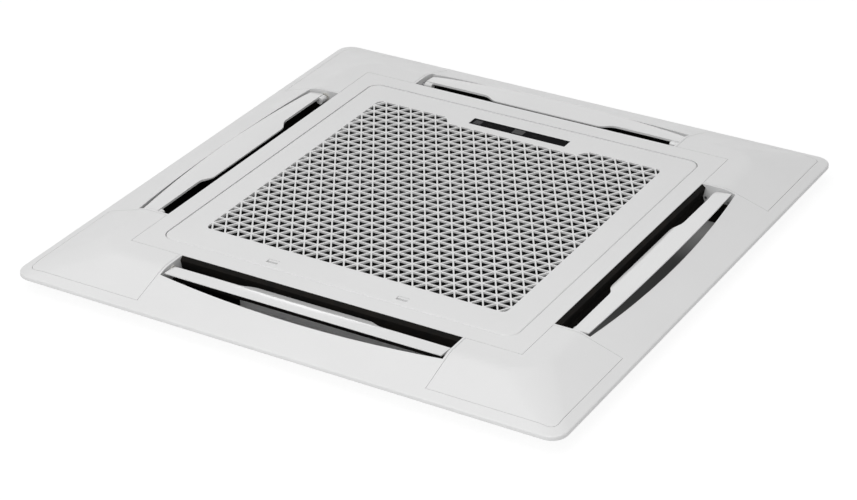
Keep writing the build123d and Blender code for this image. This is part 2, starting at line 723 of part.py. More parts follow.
def latch(x):
    """Slide latch, drawn released: finger pad, base plate and tongue."""
    place = Pos(x, LATCH_Y)
    low = LATCH_TOP - LATCH_BASE_THICK
    base = prism(place * Rectangle(*LATCH_BASE), low, LATCH_TOP)
    pad = prism(place * Rectangle(*LATCH_PAD), LATCH_TOP, FIELD_Z - SLIDE_PLAY)
    half = LATCH_TONGUE[0] / 2
    tip = -RECESS_HALF - LATCH_BITE + LATCH_TRAVEL
    tongue = block(x - half, x + half, tip, LATCH_Y, TONGUE_Z, TONGUE_Z + LATCH_TONGUE[1])
    return base + pad + tongue


# ---------------------------------------------------------------- filter
def filter_area():
    """Plan of the filter, notched to clear the display tray."""
    outline = Rectangle(2 * FILTER_HALF, FILTER_FRONT + FILTER_BACK)
    outline = Pos(0, (FILTER_BACK - FILTER_FRONT) / 2) * outline
    near = WINDOW_Y - WINDOW[1] / 2 - TRAY_BORDER - 3 * SLIDE_PLAY
    half = tray_post_places()[1] + TRAY_EAR
    return outline - Pos(0, near + FILTER_BACK / 2) * Rectangle(2 * half, FILTER_BACK)


def filter_bars():
    """Plan of the filter frame: border and two cross bars."""
    area = filter_area()
    bars = Rectangle(2 * FILTER_HALF, FILTER_BAR) + Rectangle(FILTER_BAR, 2 * FILTER_BACK)
    return (area - offset(area, -FILTER_BAR)) + (bars & area)


def filter_frame():
    return prism(filter_bars(), FILTER_TOP - FILTER_THICK, FILTER_TOP)


def filter_net():
    """Fine net stretched in the openings of the filter frame."""
    middle = FILTER_TOP - FILTER_THICK / 2
    return prism(filter_area() - filter_bars(), middle - NET / 2, middle + NET / 2)


# ---------------------------------------------------------------- display
def plate_at(x, width, height, z0, z1):
    """Block centred on the display strip, at the given X."""
    return prism(Pos(x, WINDOW_Y) * Rectangle(width, height), z0, z1)


def display_window():
    glass = plate_at(0, *WINDOW, GRILLE_UNDER, FIELD_Z)
    hole = BUTTON + 2 * BUTTON_FIT
    return glass - plate_at(BUTTON_X, hole, hole, 0, 2 * FIELD_Z)


def display_housing():
    """Open tray under the window, with two screw ears and posts for the board."""
    width, height = (side + 2 * TRAY_BORDER for side in WINDOW)
    inside = height - 2 * TRAY_WALL
    floor = TRAY_FLOOR_Z + TRAY_WALL
    tray = plate_at(0, width, height, TRAY_FLOOR_Z, GRILLE_UNDER)
    tray -= plate_at(0, width - 2 * TRAY_WALL, inside, floor, GRILLE_UNDER + 1)
    for x in (-width / 3, 0, width / 3):
        tray += plate_at(x, 2 * TRAY_WALL, inside, floor, BOARD_Z)
    for side, x in zip((-1, 1), tray_post_places()):
        middle = x - side * TRAY_WALL / 4
        tray += plate_at(middle, TRAY_EAR + TRAY_WALL / 2, TRAY_EAR, TRAY_FLOOR_Z, floor)
        tray -= post(SCREW / 2 + PIN_PLAY, x, WINDOW_Y, TRAY_FLOOR_Z - 1, floor + 1)
    return tray


def display_board():
    edge = 2 * (TRAY_BORDER - TRAY_WALL - BUTTON_FIT)
    return plate_at(0, WINDOW[0] + edge, WINDOW[1] + edge, BOARD_Z, BOARD_TOP)


def indicator_leds():
    return [post(LED / 2, x, WINDOW_Y, BOARD_TOP, GRILLE_UNDER - 1) for x in LED_X]


def infrared_receiver():
    lens = post(RECEIVER * 0.4, 0, WINDOW_Y, BOARD_TOP, GRILLE_UNDER - SLIDE_PLAY)
    return lens + plate_at(0, RECEIVER, RECEIVER, BOARD_TOP, BOARD_TOP + RECEIVER / 2)


def button_switch():
    side = BUTTON * 2 / 3
    return plate_at(BUTTON_X, side, side, BOARD_TOP, BOARD_TOP + SWITCH)


def manual_button():
    """Square push button in the window, with the flange that keeps it in."""
    cap = plate_at(BUTTON_X, BUTTON, BUTTON, FLANGE_TOP, FIELD_Z - BUTTON_SINK)
    flange = plate_at(BUTTON_X, BUTTON + 2, BUTTON + 2, FLANGE_TOP - 1, FLANGE_TOP)
    foot = BOARD_TOP + SWITCH + BUTTON_TRAVEL + BUTTON_SINK
    return cap + flange + post(LED / 2, BUTTON_X, WINDOW_Y, foot, FLANGE_TOP)


def display_screws():
    top = TRAY_FLOOR_Z
    return [
        post(SCREW_HEAD / 2, x, WINDOW_Y, top - SCREW_HEAD_THICK, top)
        + post(SCREW / 2, x, WINDOW_Y, top, top + TRAY_SCREW_LENGTH)
        for x in tray_post_places()
    ]


def intake_seal():
    """Foam ring behind the recess ledge, towards the cased unit."""
    width, height = SEAL
    outer = square(2 * (RECESS_HALF + SKIN), GRILLE_CORNER + SKIN)
    ring = outer - square(2 * (RECESS_HALF + SKIN - width), GRILLE_CORNER)
    top = LEDGE_Z - SKIN
    return prism(ring, top - height, top)


# ---------------------------------------------------------------- write the nodes
def main():
    face = dome()
    write(panel_frame(face), "panel_frame")
    cover = corner_cover(face)
    for turn, corner in enumerate(CORNERS):
        write(Rot(0, 0, 90 * turn) * cover, f"corner_cover_{corner}")
    blade = louvre()
    for turn, side in enumerate(SIDES):
        write(Rot(0, 0, 90 * turn) * turned_down(blade, LOUVRE_CLOSED[turn]), f"louvre_{side}")
    for name, piece in (
        ("duct_liner", duct_liner()),
        ("louvre_bush", louvre_bush()),
        ("louvre_motor", louvre_motor()),
        ("motor_shaft", motor_shaft()),
    ):
        for turn, side in enumerate(SIDES):
            write(Rot(0, 0, 90 * turn) * piece, f"{name}_{side}")
    screws = [turned for screw in motor_screws() for turned in all_sides(screw)]
    write(Compound(children=screws), "motor_screws")
    write(intake_grille(), "intake_grille")
    write(Compound(children=hinge_pins()), "hinge_pins")
    write(latch(-LATCH_X), "latch_left")
    write(latch(LATCH_X), "latch_right")
    write(filter_frame(), "filter_frame")
    write(filter_net(), "filter_net")
    write(display_window(), "display_window")
    write(display_housing(), "display_housing")
    write(display_board(), "display_board")
    write(Compound(children=indicator_leds()), "indicator_leds")
    write(infrared_receiver(), "infrared_receiver")
    write(button_switch(), "button_switch")
    write(manual_button(), "manual_button")
    write(Compound(children=display_screws()), "display_screws")
    write(intake_seal(), "intake_seal")


main()
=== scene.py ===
import json
import math

import bmesh
import bpy
from mathutils import Matrix, Vector
from mathutils.geometry import delaunay_2d_cdt


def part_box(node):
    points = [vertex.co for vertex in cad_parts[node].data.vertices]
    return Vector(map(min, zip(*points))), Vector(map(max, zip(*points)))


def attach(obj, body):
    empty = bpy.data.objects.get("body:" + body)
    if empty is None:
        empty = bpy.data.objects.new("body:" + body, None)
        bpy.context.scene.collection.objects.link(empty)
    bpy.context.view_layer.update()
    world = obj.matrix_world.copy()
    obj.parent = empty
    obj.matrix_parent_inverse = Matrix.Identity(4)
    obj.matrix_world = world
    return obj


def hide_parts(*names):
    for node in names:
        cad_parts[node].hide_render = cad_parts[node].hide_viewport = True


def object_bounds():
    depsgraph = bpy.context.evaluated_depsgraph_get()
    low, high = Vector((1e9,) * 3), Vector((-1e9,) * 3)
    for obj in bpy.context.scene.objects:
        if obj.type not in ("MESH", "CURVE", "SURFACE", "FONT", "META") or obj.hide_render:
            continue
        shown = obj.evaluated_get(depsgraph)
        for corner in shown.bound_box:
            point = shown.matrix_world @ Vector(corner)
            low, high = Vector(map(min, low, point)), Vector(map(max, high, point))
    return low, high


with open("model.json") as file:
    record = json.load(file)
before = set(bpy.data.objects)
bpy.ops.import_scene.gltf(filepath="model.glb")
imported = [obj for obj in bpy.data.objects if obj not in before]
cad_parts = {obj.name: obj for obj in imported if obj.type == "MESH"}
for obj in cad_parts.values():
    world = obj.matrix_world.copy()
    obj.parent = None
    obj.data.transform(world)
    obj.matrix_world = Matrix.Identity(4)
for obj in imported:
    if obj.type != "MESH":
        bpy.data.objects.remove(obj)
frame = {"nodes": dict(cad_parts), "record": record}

# Face panel of a ceiling cassette, lying face up. Metres, in the frame of the CAD model:
# +Z out of the face, the front side at -Y, the display at the +Y side.

# ---------------------------------------------------------------- sizes
# Triangular mesh of the grille.
MESH_HALF = 0.1745  # half its width
MESH_FRONT = 0.167  # from the centre to its front edge
MESH_BACK = 0.1695  # from the centre to its back edge
MESH_CORNER = 0.0075  # radius of its corners
MESH_NOTCH = 0.157  # from the centre to the notch in front of the display
NOTCH_HALF = 0.078  # half the length of the notch
NOTCH_RUN = 0.012  # how far its ends slope outwards
MESH_DEPTH = 0.0022
MESH_ROWS = 26
CELL_SHAPE = 1.222  # node pitch over row pitch
RIB = 0.0017  # width of a rib
RIB_EASE = 0.0002  # chamfer along the top edges of the ribs
CELL_CORNER = 0.0007  # cut at the corners of a cell
CELL_CORNER_SHARE = 0.3  # the most that a cut takes of a side
SMALLEST_CELL = 3e-6  # smaller cut-off cells stay closed, in square metres
MESH_BORDER = 0.001  # strip of the bezel that is made with the mesh
CORNER_STEPS = 6  # sides that stand in for a rounded corner
SHARP_ANGLE = 30  # degrees between faces above which their edge stays sharp

# Distances below which points are one.
PLAN_WELD = 1e-8
RIB_WELD = 1e-7
BEZEL_WELD = 1e-6

# Tints in the display window, in plan.
WINDOW_Y = 0.174
SMOKY_X = -0.0004
SMOKY_HALF = (0.0066, 0.0048)  # half width and half height
MARKS_X = (-0.036, -0.020, 0.019)
MARK_HALF = (0.0028, 0.0009)

# Black foam strip on the inner wall of the front duct, which makes the left third of what shows
# through the front crescent dark.
STRIP_ENDS = (-0.160, -0.096)
STRIP_WALL = -0.2222
STRIP_THICK = 0.0022
STRIP_HEIGHTS = (0.0008, 0.0127)  # up to the foot of the liner

# Floor, in plan. What the panel covers shows through the outlets and the open intake; under the
# outlets its colour holds painted light and shade.
FLOOR_HALF = 15
FOOTPRINT = 0.277  # half width of the covered floor, which is seen as it is lit and carries painted light and shade in its colour
INTAKE_FLOOR = 0.212  # half width of the floor under the intake
FRONT_FLOOR = 0.18  # distance in front of the centre where the front outlet's floor starts
FRONT_STOP = -0.096  # painted shadow up to here, and painted light from here on
FRONT_FADE = 0.06  # where the painted light has faded to the soft grey of the floor
SIDE_FADE = (0.07, 0.13)  # the painted shade on the floor under the other outlets turns to painted light from and to here

# Camera fitted to the panel's corners and the seam of the grille in the photo.
CAMERA_PLACE = (1.18786, -1.96198, 1.26803)
CAMERA_RIGHT = (0.85848239, 0.51249657, -0.01884845)
CAMERA_DOWN = (0.23692768, -0.42893676, -0.87171012)
CAMERA_AHEAD = (-0.45483323, 0.74388206, -0.48965928)
CAMERA_LENS = 105.86
CAMERA_SENSOR = 36.0
CAMERA_REACH = 100

# ---------------------------------------------------------------- light and tones
# Soft lamps that point at the middle of the panel: place, width and height, and watts.
LAMPS = {
    "key": ((0.1, -1.6, 1.4), (2.4, 2.0), 19.5),
    "top": ((0, -0.3, 2.4), (2.0, 2.0), 19),
    "low": ((-2.9, 4.9, 0.5), (3.0, 0.6), 4.0),
}
LAMP_AIM = (0, 0, 0)
WHITE = (1, 1, 1, 1)
WORLD_LIGHT = 0.35
FLOOR_GAIN = 1.6  # level that the camera sees, so that the lit floor is plain white
FLOOR_GLOW = 0.9  # share of plain white, which keeps the shadow faint
FLOOR_LEVELS = (0.84, 0.86)  # darkest and palest level of the open floor
# Levels of the covered floor, in order: a painted shadow, painted shade and painted light under
# the side outlets, the floor's plain tone under the intake which is also the faded end of the
# front's painted light, and a painted pool of light under the front outlet.
FRONT_PAINTED_SHADOW = 0.01
SIDE_PAINTED_SHADE = 0.19
SIDE_PAINTED_LIGHT = 0.5
SOFT_FLOOR_AND_FADED_LIGHT = 0.75
FRONT_PAINTED_LIGHT = 0.96

# ---------------------------------------------------------------- patterns in the materials
NOISE_SPAN = (0.3, 0.7)  # most values of a noise lie in it
FLOOR_BLOB = 0.4
FLOW_BLOB = 0.09  # faint variation of a moulding's colour
FLOW_DETAIL = 3
FLOW_SHADE = 0.975
SHEEN_BLOB = 0.02  # uneven sheen of a moulding
GRAIN = 0.0007
GRAIN_DEPTH = 0.00002
COAT_ROUGHNESS = 0.06
PORE = 0.0012
PORE_DEPTH = 0.0003
# Patches of the foams' second colour: partly dust, partly a painted sheen.
DUST_SHEEN_BLOB = 0.012
DUST_SHEEN_SPAN = (0.35, 0.65)
PLATING_BLOB = 0.004
STREAK = 0.0006
SCRATCH = 0.0004
SCRATCH_DEPTH = 0.00001
THREAD_PITCH = 0.0008
THREAD_DEPTH = 0.0001
THREAD_WAVE = 3.2  # makes a wave texture repeat at about the pitch
TINT_BLOB = 0.03
POLISH_BLOB = 0.01
RIPPLE = 0.015
RIPPLE_DEPTH = 0.00002
TRACK = 0.004
TRACK_DEPTH = 0.00005

# Numbers of a Mix node's sockets when it mixes colours: factor, A and B, and the result.
MIX_INPUTS = (0, 6, 7)
MIX_RESULT = 2


def grey(level):
    return (level, level, level)


def shade(colour, share):
    return tuple(c * share for c in colour)


class Nodes:
    """A new material with its Principled shader and helpers to add nodes."""

    def __init__(self, name):
        self.material = bpy.data.materials.new(name)
        self.material.use_nodes = True
        self.tree = self.material.node_tree
        self.shader = self.tree.nodes["Principled BSDF"]
        self.place = self.add("TexCoord").outputs["Object"]

    def add(self, kind, **values):
        """New node of a kind, with the given properties."""
        node = self.tree.nodes.new("ShaderNode" + kind)
        for key, value in values.items():
            setattr(node, key, value)
        return node

    def link(self, start, end):
        self.tree.links.new(start, end)

    def feed(self, value, socket):
        """Links another node's output to a socket, or sets it to a number or a colour."""
        if isinstance(value, bpy.types.NodeSocket):
            self.link(value, socket)
        elif isinstance(value, tuple):
            socket.default_value = (*value, 1)
        else:
            socket.default_value = value

    def noise(self, size, detail=2.0):
        """Noise whose blobs are about the given size."""
        node = self.add("TexNoise")
        node.inputs["Scale"].default_value = 1 / size
        node.inputs["Detail"].default_value = detail
        self.link(self.place, node.inputs["Vector"])
        return node.outputs["Fac"]

    def mix(self, factor, low, high):
        """Colour that goes from low to high with the factor."""
        node = self.add("Mix", data_type="RGBA")
        for number, value in zip(MIX_INPUTS, (factor, low, high)):
            self.feed(value, node.inputs[number])
        return node.outputs[MIX_RESULT]

    def blend(self, factor, low, high):
        """Shader that goes from low to high with the factor."""
        node = self.add("MixShader")
        for value, socket in zip((factor, low, high), node.inputs):
            self.feed(value, socket)
        return node.outputs[0]

    def between(self, value, low, high, start=0.0, stop=1.0):
        """Value mapped from low..high to start..stop."""
        node = self.add("MapRange")
        names = ("Value", "From Min", "From Max", "To Min", "To Max")
        for name, number in zip(names, (value, low, high, start, stop)):
            self.feed(number, node.inputs[name])
        return node.outputs["Result"]

    def math(self, operation, *values):
        """Result of an operation on sockets and numbers."""
        node = self.add("Math", operation=operation)
        for value, socket in zip(values, node.inputs):
            self.feed(value, socket)
        return node.outputs[0]

    def plan(self):
        """X and Y of the shaded place."""
        parts = self.add("SeparateXYZ")
        self.link(self.place, parts.inputs[0])
        return parts.outputs[0], parts.outputs[1]

    def within(self, half):
        """1 inside the square about the origin with the given half side, and 0 outside it."""
        x, y = (self.math("ABSOLUTE", value) for value in self.plan())
        return self.math("LESS_THAN", self.math("MAXIMUM", x, y), half)

    def patch(self, middle, half):
        """1 inside a rectangle of the plan, and 0 outside it."""
        inside = []
        for value, centre, reach in zip(self.plan(), middle, half):
            distance = self.math("ABSOLUTE", self.math("SUBTRACT", value, centre))
            inside.append(self.math("LESS_THAN", distance, reach))
        return self.math("MULTIPLY", *inside)

    def bump(self, height, distance, strength=1.0):
        """Relief of the given depth for the shader."""
        node = self.add("Bump")
        node.inputs["Strength"].default_value = strength
        node.inputs["Distance"].default_value = distance
        self.link(height, node.inputs["Height"])
        self.link(node.outputs["Normal"], self.shader.inputs["Normal"])

    def set(self, name, value):
        """Sets a socket of the shader itself."""
        self.shader.inputs[name].default_value = value

    def colour(self, socket):
        self.link(socket, self.shader.inputs["Base Color"])

    def roughness(self, noise, low, high):
        """Roughness that goes from low to high with a noise."""
        self.link(self.between(noise, *NOISE_SPAN, low, high), self.shader.inputs["Roughness"])


# ---------------------------------------------------------------- materials
def moulded(name, colour, rough, depth=GRAIN_DEPTH, coat=0.0):
    """Moulded plastic: fine grain, faint flow variation and uneven sheen."""
    nodes = Nodes(name)
    nodes.set("Coat Weight", coat)
    nodes.set("Coat Roughness", COAT_ROUGHNESS)
    flow = nodes.between(nodes.noise(FLOW_BLOB, FLOW_DETAIL), *NOISE_SPAN)
    nodes.colour(nodes.mix(flow, shade(colour, FLOW_SHADE), colour))
    nodes.roughness(nodes.noise(SHEEN_BLOB), rough - 0.04, rough + 0.05)
    nodes.bump(nodes.noise(GRAIN), depth)
    return nodes.material


def foam(name, colour, dust_and_sheen):
    """Closed-cell foam: small pores and a faint tint in patches, partly dust and partly a painted
    sheen.
    """
    nodes = Nodes(name)
    cells = nodes.add("TexVoronoi")
    cells.inputs["Scale"].default_value = 1 / PORE
    nodes.link(nodes.place, cells.inputs["Vector"])
    nodes.colour(nodes.mix(nodes.between(nodes.noise(DUST_SHEEN_BLOB), *DUST_SHEEN_SPAN), colour, dust_and_sheen))
    nodes.set("Roughness", 0.85)
    nodes.set("Specular IOR Level", 0.15)
    nodes.bump(cells.outputs["Distance"], PORE_DEPTH, 0.6)
    return nodes.material


def metal(name, colour, rough):
    """Plated steel with fine drawn streaks."""
    nodes = Nodes(name)
    nodes.set("Metallic", 1.0)
    nodes.colour(nodes.mix(nodes.noise(PLATING_BLOB), shade(colour, 0.85), colour))
    nodes.roughness(nodes.noise(STREAK), rough - 0.05, rough + 0.1)
    nodes.bump(nodes.noise(SCRATCH), SCRATCH_DEPTH)
    return nodes.material


def woven(name, colour):
    """Fine net: threads both ways with dark gaps."""
    nodes = Nodes(name)
    threads = []
    for axis in ("X", "Y"):
        wave = nodes.add("TexWave", bands_direction=axis)
        wave.inputs["Scale"].default_value = 1 / (THREAD_PITCH * THREAD_WAVE)
        nodes.link(nodes.place, wave.inputs["Vector"])
        threads.append(wave.outputs["Fac"])
    weave = nodes.math("MAXIMUM", *threads)
    nodes.colour(nodes.mix(weave, shade(colour, 0.25), colour))
    nodes.set("Roughness", 0.8)
    nodes.set("Specular IOR Level", 0.1)
    nodes.bump(weave, THREAD_DEPTH)
    return nodes.material


def polish(nodes, low, high):
    """Uneven polish from the low to the high roughness, with faint moulding ripple."""
    nodes.roughness(nodes.noise(POLISH_BLOB), low, high)
    nodes.bump(nodes.noise(RIPPLE), RIPPLE_DEPTH, 0.3)


def gloss(name, colour, rough=0.08, specular=0.5):
    """Polished plastic."""
    nodes = Nodes(name)
    nodes.set("Specular IOR Level", specular)
    nodes.colour(nodes.mix(nodes.noise(TINT_BLOB), colour, shade(colour, 1.4)))
    polish(nodes, rough - 0.02, rough + 0.04)
    return nodes.material


def window(name):
    """Black strip with a smoky part over the receiver and faint marks over the indicators."""
    nodes = Nodes(name)
    tone = nodes.mix(nodes.noise(TINT_BLOB), (0.0035, 0.0035, 0.004), (0.006, 0.006, 0.007))
    tone = nodes.mix(nodes.patch((SMOKY_X, WINDOW_Y), SMOKY_HALF), tone, grey(0.09))
    for x in MARKS_X:
        tone = nodes.mix(nodes.patch((x, WINDOW_Y), MARK_HALF), tone, grey(0.016))
    nodes.colour(tone)
    nodes.set("Specular IOR Level", 0.008)
    polish(nodes, 0.10, 0.18)
    return nodes.material


def board(name):
    """Solder resist over copper tracks."""
    nodes = Nodes(name)
    tracks = nodes.add("TexBrick")
    tracks.inputs["Scale"].default_value = 1 / TRACK
    nodes.link(nodes.place, tracks.inputs["Vector"])
    nodes.colour(nodes.mix(tracks.outputs["Fac"], (0.015, 0.12, 0.05), (0.04, 0.2, 0.08)))
    nodes.set("Roughness", 0.35)
    nodes.bump(tracks.outputs["Fac"], TRACK_DEPTH)
    return nodes.material


def make_materials():
    """One material for each slot of the record."""
    return {
        "panel_white": moulded("panel_white", grey(0.80), 0.42),
        "cover_white": moulded("cover_white", grey(0.80), 0.42),
        "louvre_white": moulded("louvre_white", grey(0.78), 0.14, depth=GRAIN_DEPTH / 2, coat=1.0),
        "grille_white": moulded("grille_white", grey(0.80), 0.40),
        "latch_white": moulded("latch_white", grey(0.79), 0.40),
        "housing_white": moulded("housing_white", grey(0.70), 0.5),
        # Each foam's second colour is partly dust and partly a painted brownish sheen.
        "foam_black": foam("foam_black", (0.002, 0.002, 0.0018), (0.007, 0.0055, 0.004)),
        "foam_grey": foam("foam_grey", grey(0.045), grey(0.07)),
        "steel": metal("steel", (0.6, 0.6, 0.62), 0.32),
        "motor_steel": metal("motor_steel", (0.55, 0.55, 0.56), 0.38),
        "bush_nylon": moulded("bush_nylon", (0.56, 0.55, 0.52), 0.45),
        # The filter and its net are near black: partly their own dark colour, partly painted shade
        # for the dark space behind the mesh.
        "filter_grey": moulded("filter_grey", grey(0.006), 0.7),
        "filter_net": woven("filter_net", grey(0.004)),
        "window_black": window("window_black"),
        "board_green": board("board_green"),
        "led_clear": gloss("led_clear", (0.6, 0.64, 0.62), 0.15),
        "receiver_black": gloss("receiver_black", (0.01, 0.01, 0.014)),
        "button_grey": gloss("button_grey", (0.032, 0.032, 0.034), 0.25, 0.06),
    }


def dress(nodes, record, materials):
    """Gives every CAD node the material of its slot."""
    for part in record["subparts"]:
        for holder in nodes[part["node"]].material_slots:
            holder.link = "OBJECT"
            holder.material = materials[part["material_slot"]]


# ---------------------------------------------------------------- plans of the mesh
def arc(centre, radius, start):
    """Quarter circle from the start angle, in degrees."""
    points = []
    for i in range(CORNER_STEPS + 1):
        angle = math.radians(start + 90 * i / CORNER_STEPS)
        points.append(centre + radius * Vector((math.cos(angle), math.sin(angle))))
    return points


def mesh_outline(grow):
    """Outline of the mesh, anticlockwise, with the notch in front of the display."""
    half, front, back = MESH_HALF + grow, MESH_FRONT + grow, MESH_BACK + grow
    radius = MESH_CORNER + grow
    x, low, high = half - radius, radius - front, back - radius
    near = NOTCH_HALF - grow
    floor = MESH_NOTCH + grow
    points = arc(Vector((-x, low)), radius, 180) + arc(Vector((x, low)), radius, 270)
    points += arc(Vector((x, high)), radius, 0)
    points += [Vector((near + NOTCH_RUN, back)), Vector((near, floor))]
    points += [Vector((-near, floor)), Vector((-near - NOTCH_RUN, back))]
    return points + arc(Vector((-x, high)), radius, 90)


def left_of(start, stop):
    """Unit direction to the left of the way from start to stop."""
    along = (stop - start).normalized()
    return Vector((-along.y, along.x))


def area(polygon):
    """Area of an anticlockwise polygon."""
    pairs = zip(polygon, polygon[1:] + polygon[:1])
    return sum(a.x * b.y - b.x * a.y for a, b in pairs) / 2


def clip(polygon, point, inward):
    """The part of a convex polygon on the inward side of the line through a point."""
    kept = []
    for a, b in zip(polygon, polygon[1:] + polygon[:1]):
        da, db = (a - point).dot(inward), (b - point).dot(inward)
        if da >= 0:
            kept.append(a)
        if da * db < 0:
            kept.append(a + (b - a) * (da / (da - db)))
    return kept


def mesh_sides():
    """A point and the inward direction of each side of the mesh, as if it had no notch."""
    middle = Vector((0, (MESH_BACK - MESH_FRONT) / 2))
    centre = Vector((-MESH_HALF, -MESH_FRONT)) + Vector((MESH_CORNER, MESH_CORNER))
    points = [Vector((-MESH_HALF, 0)), *arc(centre, MESH_CORNER, 180), Vector((0, -MESH_FRONT))]
    sides = []
    for start, stop in zip(points, points[1:]):
        inward = left_of(start, stop)
        offset = start - middle
        for sx in (1, -1):
            for sy in (1, -1):
                place = middle + Vector((offset.x * sx, offset.y * sy))
                sides.append((place, Vector((inward.x * sx, inward.y * sy))))
    return sides


def clip_to_mesh(cell, sides):
    """A cell cut off at the outline of the mesh, or an empty list where nothing is left."""
    for place, inward in sides:
        cell = clip(cell, place, inward)
        if len(cell) < 3:
            return []
    if max(p.y for p in cell) <= MESH_NOTCH:
        return cell
    run = Vector((NOTCH_RUN, MESH_BACK - MESH_NOTCH))
    options = [clip(cell, Vector((0, MESH_NOTCH)), Vector((0, -1)))]
    for side in (1, -1):
        end = Vector((side * NOTCH_HALF, MESH_NOTCH))
        options.append(clip(cell, end, Vector((side * run.y, -run.x))))
    return max((o for o in options if len(o) > 2), key=area, default=[])


def shrunk(polygon, distance):
    """Convex polygon with every side moved inwards, or an empty list where nothing is left."""
    for a, b in list(zip(polygon, polygon[1:] + polygon[:1])):
        inward = left_of(a, b)
        polygon = clip(polygon, a + inward * distance, inward)
        if len(polygon) < 3:
            return []
    return polygon


def grown(polygon, distance):
    """Convex polygon with every side moved outwards."""
    count = len(polygon)
    points = []
    for i, corner in enumerate(polygon):
        out = -(left_of(polygon[i - 1], corner) + left_of(corner, polygon[(i + 1) % count]))
        points.append(corner + out * (2 * distance / out.length_squared))
    return points


def cut_corners(polygon):
    """Polygon with a short side across each corner."""
    count = len(polygon)
    points = []
    for i, corner in enumerate(polygon):
        for other in (polygon[i - 1], polygon[(i + 1) % count]):
            along = other - corner
            points.append(corner + along * min(CELL_CORNER_SHARE, CELL_CORNER / along.length))
    return points


def triangle(x, half, side, tip):
    """Triangle about x, from the height of its level side to that of its tip."""
    return [Vector((x - half, side)), Vector((x + half, side)), Vector((x, tip))]


def mesh_cells():
    """Plans of all gaps of the mesh."""
    row = (MESH_FRONT + MESH_BACK) / MESH_ROWS
    pitch = row * CELL_SHAPE
    half = pitch / 2
    count = int(MESH_HALF / pitch) + 2
    triangles = []
    for i in range(MESH_ROWS):
        low = i * row - MESH_FRONT
        for k in range(-count, count + 1):
            x = (k + i % 2 / 2) * pitch
            triangles.append(triangle(x, half, low, low + row))
            triangles.append(triangle(x + half, -half, low + row, low))
    sides = mesh_sides()
    cells = (clip_to_mesh(shrunk(points, RIB / 2), sides) for points in triangles)
    return [cut_corners(c) for c in cells if len(c) > 2 and area(c) > SMALLEST_CELL]


# ---------------------------------------------------------------- solids
def ring(mesh, outline, z):
    """Corners of an outline at a height."""
    return [mesh.verts.new((*p, z)) for p in outline]


def add_wall(mesh, foot, head):
    """Faces between two rings, facing out of them where the foot is the lower one."""
    for i in range(len(foot)):
        mesh.faces.new((foot[i - 1], foot[i], head[i], head[i - 1]))


def add_flat(mesh, border, holes, z, up):
    """Level faces inside the border and outside the holes."""
    loops = [border, *holes]
    points = [p for loop in loops for p in loop]
    ends = []
    start = 0
    for loop in loops:
        ends.append(list(range(start, start + len(loop))))
        start += len(loop)
    inside_only = 1
    places, _, faces, _, _, sources = delaunay_2d_cdt(points, [], ends, inside_only, PLAN_WELD)
    corners = ring(mesh, places, z)
    for face, loops_around in zip(faces, sources):
        if loops_around == [0]:
            mesh.faces.new([corners[i] for i in (face if up else face[::-1])])


def ribs(top):
    """The triangular ribs as one closed solid, with eased top edges."""
    low = top - MESH_DEPTH
    border = mesh_outline(MESH_BORDER)
    cells = mesh_cells()
    mesh = bmesh.new()
    add_flat(mesh, border, [grown(cell, RIB_EASE) for cell in cells], top, True)
    add_flat(mesh, border, cells, low, False)
    for cell in cells:
        levels = ((grown(cell, RIB_EASE), top), (cell, top - RIB_EASE), (cell, low))
        for upper, lower in zip(levels, levels[1:]):
            add_wall(mesh, ring(mesh, *upper), ring(mesh, *lower))
    add_wall(mesh, ring(mesh, border, low), ring(mesh, border, top))
    bmesh.ops.remove_doubles(mesh, verts=mesh.verts, dist=RIB_WELD)
    return mesh


def prism(outline, low, high, name):
    """Closed solid over an anticlockwise outline."""
    mesh = bmesh.new()
    foot, head = ring(mesh, outline, low), ring(mesh, outline, high)
    mesh.faces.new(foot[::-1])
    mesh.faces.new(head)
    add_wall(mesh, foot, head)
    return new_object(mesh, name)


def new_object(mesh, name):
    """Object in the scene with a bmesh's faces."""
    data = bpy.data.meshes.new(name)
    mesh.to_mesh(data)
    mesh.free()
    piece = bpy.data.objects.new(name, data)
    bpy.context.scene.collection.objects.link(piece)
    return piece


def smooth(piece):
    """Smooth shading with sharp edges, in place of the normals that came with the CAD mesh."""
    old = piece.data.attributes.get("custom_normal")
    if old:
        piece.data.attributes.remove(old)
    piece.data.shade_smooth()
    piece.data.set_sharp_from_angle(angle=math.radians(SHARP_ANGLE))


def make_grille(node, material):
    """The grille of the frame, with its coarse mesh cut out and the full one put in."""
    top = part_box("intake_grille")[1].z
    body = bmesh.new()
    body.from_mesh(node.data)
    bmesh.ops.remove_doubles(body, verts=body.verts, dist=BEZEL_WELD)
    bezel = new_object(body, "bezel_cut")
    outline = mesh_outline(MESH_BORDER)
    cutter = prism(outline, top - 2 * MESH_DEPTH, top + MESH_DEPTH, "mesh_cutter")
    cut = bezel.modifiers.new("opening", "BOOLEAN")
    cut.object = cutter
    cut.solver = "EXACT"
    state = bpy.context.evaluated_depsgraph_get()
    whole = ribs(top)
    whole.from_mesh(bezel.evaluated_get(state).to_mesh())
    bpy.data.objects.remove(bezel)
    bpy.data.objects.remove(cutter)
    piece = new_object(whole, "grille_moulding")
    smooth(piece)
    piece.data.materials.clear()
    piece.data.materials.append(material)
    for face in piece.data.polygons:
        face.material_index = 0
    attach(piece, "grille")
    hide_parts("intake_grille")


def make_strip(material):
    """Strip of black foam below the liner of the front duct; it darkens the left third of the
    front crescent.
    """
    (x0, x1), out = STRIP_ENDS, STRIP_WALL - STRIP_THICK
    outline = [Vector(p) for p in ((x0, out), (x1, out), (x1, STRIP_WALL), (x0, STRIP_WALL))]
    strip = prism(outline, *STRIP_HEIGHTS, "duct_liner_front_strip")
    strip.data.materials.append(material)
    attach(strip, "frame")


